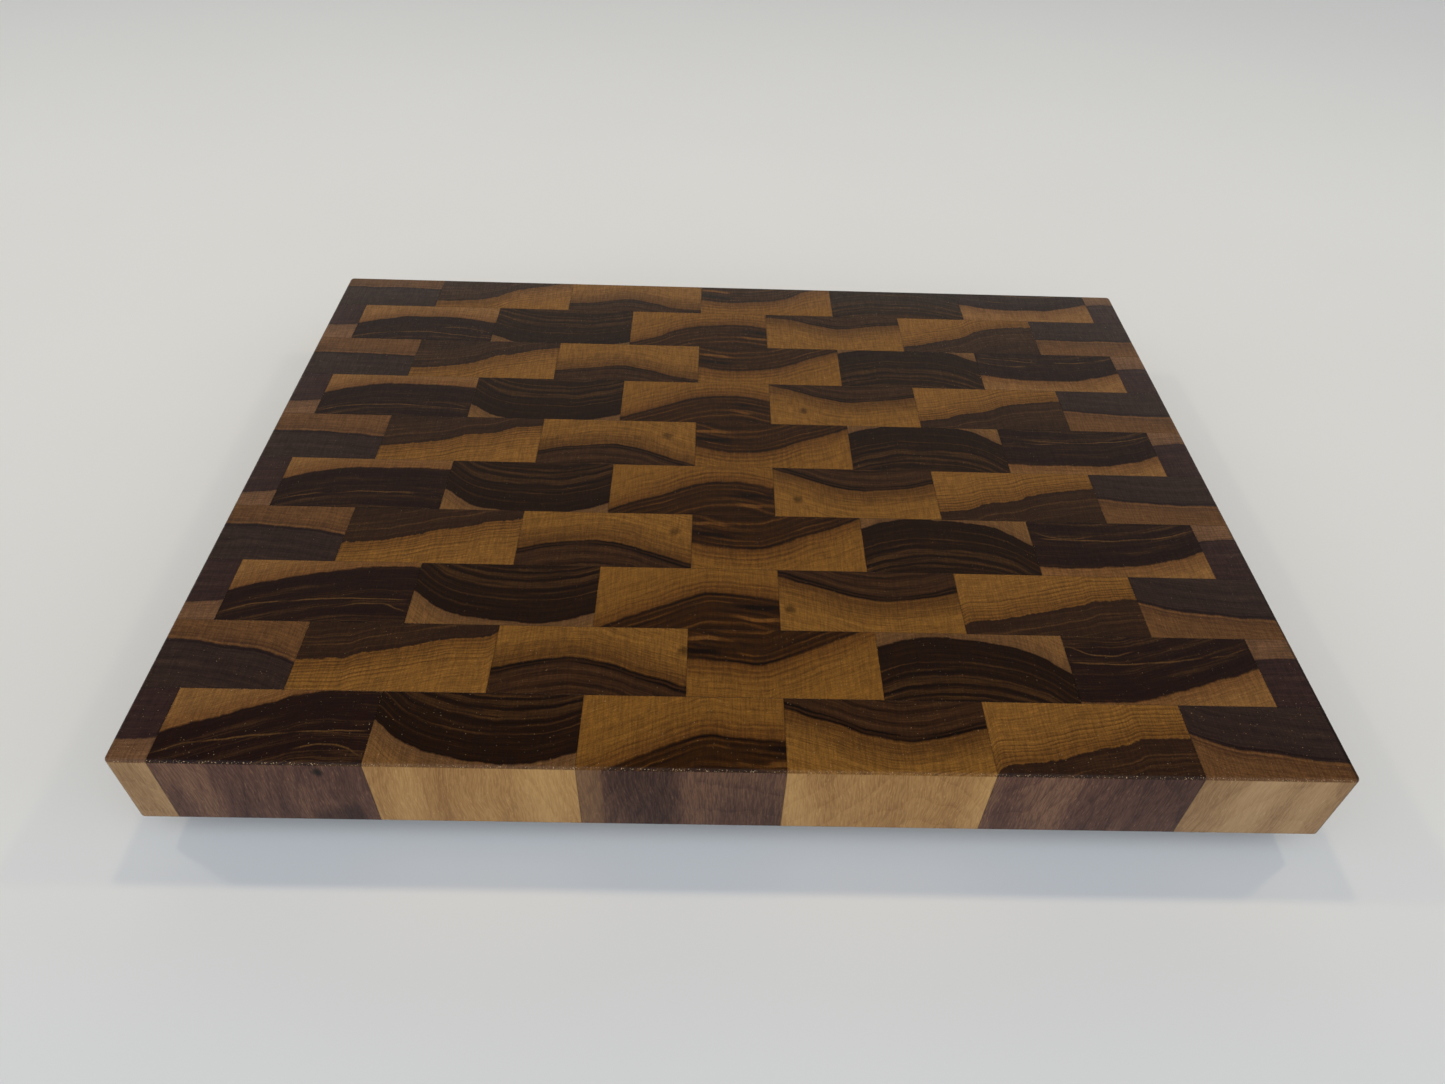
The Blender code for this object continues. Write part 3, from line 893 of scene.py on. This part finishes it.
def foot_profile(height):
    """The section of a foot, from the mouth of its recess round to the mouth again."""
    ceiling = RECESS_DEPTH + WASHER_THICKNESS
    return [
        (RECESS_RADIUS + RECESS_MOUTH, 0.0),
        *arc(FOOT_BASE_RADIUS - FOOT_EDGE_ROUND, FOOT_EDGE_ROUND, FOOT_EDGE_ROUND, -90, 0),
        *arc(FOOT_TOP_RADIUS - FOOT_EDGE_ROUND, height - FOOT_EDGE_ROUND, FOOT_EDGE_ROUND,
             0, 90),
        (SCREW_HOLE_RADIUS, height),
        (SCREW_HOLE_RADIUS, ceiling),
        (RECESS_RADIUS, ceiling),
        (RECESS_RADIUS, RECESS_MOUTH),
    ]


def washer_profile():
    top = RECESS_DEPTH + WASHER_THICKNESS - SEAM
    return [(SCREW_HOLE_RADIUS, RECESS_DEPTH), (WASHER_RADIUS, RECESS_DEPTH),
            (WASHER_RADIUS, top), (SCREW_HOLE_RADIUS, top)]


def head_profile():
    """The section of a domed screw head, whose flat top sits against the washer."""
    seat = RECESS_DEPTH - SEAM
    low = seat - HEAD_HEIGHT
    dome = HEAD_HEIGHT - HEAD_RIM
    points = []
    for step in range(ARC_STEPS * 2):
        angle = math.pi / 2 * step / (ARC_STEPS * 2)
        points.append((HEAD_RADIUS * math.sin(angle), low + dome * (1 - math.cos(angle))))
    return [*points, (HEAD_RADIUS, low + dome), (HEAD_RADIUS, seat), (0.0, seat)]


def thread_radius(height, angle, point):
    """How far the threaded shank reaches at a height and an angle."""
    turn = (height / THREAD_PITCH - angle / (2 * math.pi)) % 1.0
    ridge = max(0.0, 1 - abs(turn - 0.5) * 4)
    radius = THREAD_CORE_RADIUS + (SHANK_RADIUS - THREAD_CORE_RADIUS) * ridge
    return radius * min(1.0, (point - height) / TIP_LENGTH)


def threaded_shank(low, point):
    """A shank with a screw thread, closed at its top by its point."""
    shape = bmesh.new()
    levels = round((point - low) / THREAD_PITCH * THREAD_TURN_STEPS / 2)
    rings = []
    for level in range(levels):
        height = low + (point - low) * level / levels
        ring = []
        for step in range(THREAD_TURN_STEPS):
            angle = 2 * math.pi * step / THREAD_TURN_STEPS
            radius = thread_radius(height, angle, point)
            ring.append(shape.verts.new((radius * math.cos(angle), radius * math.sin(angle),
                                         height)))
        rings.append(ring)
    for lower, upper in zip(rings, rings[1:]):
        for step in range(THREAD_TURN_STEPS):
            after = (step + 1) % THREAD_TURN_STEPS
            shape.faces.new((lower[step], lower[after], upper[after], upper[step]))
    tip = shape.verts.new((0, 0, point))
    for step in range(THREAD_TURN_STEPS):
        shape.faces.new((rings[-1][step], rings[-1][(step + 1) % THREAD_TURN_STEPS], tip))
    shape.faces.new(list(reversed(rings[0])))
    return shape


def drive_cutter(low):
    """A cross-shaped bit, narrower at its tip, that cuts the recess for a screwdriver."""
    shape = bmesh.new()
    for turn in range(2):
        sizes = (DRIVE_LENGTH, DRIVE_WIDTH)
        size_x, size_y = sizes if turn == 0 else reversed(sizes)
        bar = bmesh.ops.create_cube(shape, size=1.0)["verts"]
        for vertex in bar:
            taper = 1.0 if vertex.co.z < 0 else 0.7
            vertex.co.x *= size_x * taper
            vertex.co.y *= size_y * taper
            vertex.co.z = low + vertex.co.z * 2 * DRIVE_DEPTH
    return object_from("drive_bit", shape, [], smooth=False)


def make_screw(name, centre, steel):
    """A domed screw with a cross recess and a threaded shank."""
    node = f"foot_screw_{name}"
    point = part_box(node)[1][2]
    shape = turned(head_profile())
    head = object_from(f"screw_{name}", shape, [steel])
    cutter = drive_cutter(RECESS_DEPTH - SEAM - HEAD_HEIGHT)
    modifier = head.modifiers.new("drive", "BOOLEAN")
    modifier.operation = "DIFFERENCE"
    modifier.solver = "EXACT"
    modifier.use_self = True
    modifier.object = cutter
    cut = head.evaluated_get(bpy.context.evaluated_depsgraph_get()).to_mesh()
    whole = threaded_shank(RECESS_DEPTH - 2 * SEAM, point)
    whole.from_mesh(cut)
    bmesh.ops.recalc_face_normals(whole, faces=whole.faces)
    bpy.data.objects.remove(head, do_unlink=True)
    bpy.data.objects.remove(cutter, do_unlink=True)
    screw = object_from(f"screw_{name}", whole, [steel])
    screw.location = centre
    stand_for(screw, node)


def make_feet():
    rubber = rubber_material()
    steel = steel_material()
    for name in FOOT_NAMES:
        node = f"rubber_foot_{name}"
        low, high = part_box(node)
        centre = Vector(((low[0] + high[0]) / 2, (low[1] + high[1]) / 2, 0.0))
        foot = object_from(f"foot_{name}", turned(foot_profile(BOARD_LOW.z - SEAM)), [rubber])
        foot.location = centre
        stand_for(foot, node)
        washer = object_from(f"washer_{name}", turned(washer_profile()), [steel])
        washer.location = centre
        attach(washer, "root")
        make_screw(name, centre, steel)


# ---------------------------------------------------------------------------
# Stage
# ---------------------------------------------------------------------------

def make_camera():
    data = bpy.data.cameras.new("camera")
    data.sensor_fit = "HORIZONTAL"
    data.sensor_width = 36.0
    data.lens = CAMERA_LENS_MM
    data.clip_start = 0.01
    camera = bpy.data.objects.new("camera", data)
    bpy.context.scene.collection.objects.link(camera)
    aim = (CAMERA_TARGET - CAMERA_LOCATION).to_track_quat("-Z", "Y").to_matrix().to_4x4()
    roll = Matrix.Rotation(CAMERA_ROLL, 4, "Z")
    camera.matrix_world = Matrix.Translation(CAMERA_LOCATION) @ aim @ roll
    bpy.context.scene.camera = camera


def make_lamps():
    """Three small warm lamps in a row, above and behind the board, without highlights."""
    for name, x, power in LAMPS:
        data = bpy.data.lights.new(f"lamp_{name}", "AREA")
        data.shape = "DISK"
        data.size = LAMP_SIZE
        data.energy = power
        data.color = LAMP_COLOUR
        lamp = bpy.data.objects.new(f"lamp_{name}", data)
        lamp.location = (x, LAMP_SETBACK, LAMP_HEIGHT)
        lamp.rotation_euler = (-lamp.location).to_track_quat("-Z", "Y").to_euler()
        lamp.visible_glossy = False
        bpy.context.scene.collection.objects.link(lamp)


def make_world():
    """Wide cool light from the camera's side, and a warmer glow low down behind the board.

    The camera itself sees a plain backdrop.
    """
    world = bpy.data.worlds.new("studio")
    world.use_nodes = True
    bpy.context.scene.world = world
    graph = Graph(world.node_tree)
    _, y, z = graph.split(graph.add("ShaderNodeTexCoord").outputs["Generated"])
    from_front = graph.step(y, -0.35, 0.20, FRONT_LIGHT, 0.0)
    low_down = graph.step(z, 0.44, 0.72, GLOW_LIGHT, 0.0)
    from_behind = graph.product(graph.step(y, 0.40, 0.75), low_down)
    strength = graph.math("ADD", graph.math("ADD", from_front, from_behind), ROOM_LIGHT)
    background = world.node_tree.nodes["Background"]
    colour = graph.mix(graph.step(y, 0.20, 0.40), SKY_COLOUR, GLOW_COLOUR)
    graph.feed(background.inputs["Color"], colour)
    graph.feed(background.inputs["Strength"], strength)
    backdrop = graph.add("ShaderNodeBackground")
    backdrop.inputs["Color"].default_value = BACKDROP_COLOUR
    shown = graph.add("ShaderNodeMixShader")
    graph.feed(shown.inputs[0], graph.add("ShaderNodeLightPath").outputs["Is Camera Ray"])
    graph.feed(shown.inputs[1], background.outputs[0])
    graph.feed(shown.inputs[2], backdrop.outputs[0])
    graph.feed(world.node_tree.nodes["World Output"].inputs["Surface"], shown.outputs[0])


def make_floor():
    """A pale table, with painted cool light in front of the board and painted shade far behind
    it.
    """
    material, graph, shader = new_material("pale_table")
    place = graph.add("ShaderNodeTexCoord").outputs["Object"]
    _, y, _ = graph.split(place)
    cloud = graph.noise(graph.scaled(place, 3, 3, 3), detail=3.0)
    # Painted cool light: the table turns bluer towards the front
    painted_cool_light_share = graph.step(y, -0.75, -0.10, 1.0, 0.0)
    # Painted shade: the table turns darker far behind the board
    distance = graph.step(y, 0.5, 1.8)
    colour = graph.mix(painted_cool_light_share, graph.mix(cloud, *TABLE_COLOURS),
                       graph.mix(cloud, *NEAR_TABLE_PAINTED_COOL_LIGHT_COLOURS))
    graph.feed(shader.inputs["Base Color"], graph.mix(distance, colour, FAR_TABLE_PAINTED_SHADE_COLOUR))
    shader.inputs["Roughness"].default_value = 0.6
    shader.inputs["Specular IOR Level"].default_value = 0.2
    shape = bmesh.new()
    bmesh.ops.create_grid(shape, x_segments=1, y_segments=1, size=TABLE_SIZE)
    floor = object_from("floor", shape, [material], smooth=False)


def write_sizes():
    """Defines a helper that turns a box into lists, and does nothing else."""
    def plain(box):
        return [list(corner) for corner in box]


bpy.context.scene.view_settings.view_transform = "Standard"
make_board()
make_feet()
make_floor()
make_camera()
make_lamps()
make_world()
write_sizes()
